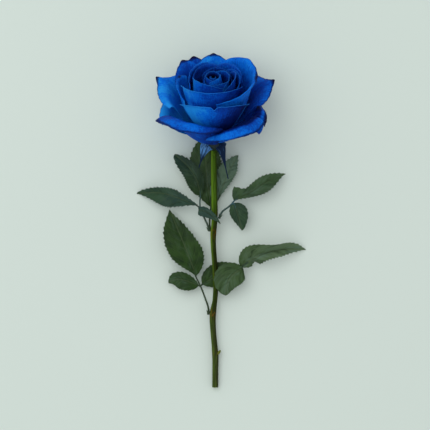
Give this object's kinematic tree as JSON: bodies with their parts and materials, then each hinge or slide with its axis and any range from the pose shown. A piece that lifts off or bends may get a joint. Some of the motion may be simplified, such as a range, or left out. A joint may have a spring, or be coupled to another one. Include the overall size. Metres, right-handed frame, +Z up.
{
  "type": "cut rose",
  "caption": "Cut rose with a dyed, many-petalled open flower on a long thin stem with toothed compound leaves, lying on its side.",
  "frame": {"origin": "middle of the lying rose's footprint, on the surface that it lies on", "axes": "+Z up, +Y along the stem from its cut end towards the flower, +X to the right as the flower is seen from its front and above"},
  "size_m": [0.1354, 0.2664, 0.0824],
  "materials": {
    "stem_green": "smooth fresh green bark, slightly waxy, with brown flecks at the nodes",
    "sepal_blue": "soft matte green tissue stained blue by the dye",
    "petal_blue": "velvety matte petal, evenly dyed royal blue, dark violet at the rolled rims",
    "leaf_green": "dark green leaf, satin upper face, paler grey-green under face"
  },
  "bodies": {
    "root": {"stem": "stem_green", "calyx": "sepal_blue", "bloom": "petal_blue", "leaf_lower_left": "leaf_green", "leaf_lower_right": "leaf_green", "leaf_upper_left": "leaf_green", "leaf_upper_back": "leaf_green", "leaf_upper_right": "leaf_green"}
  },
  "joints": []
}
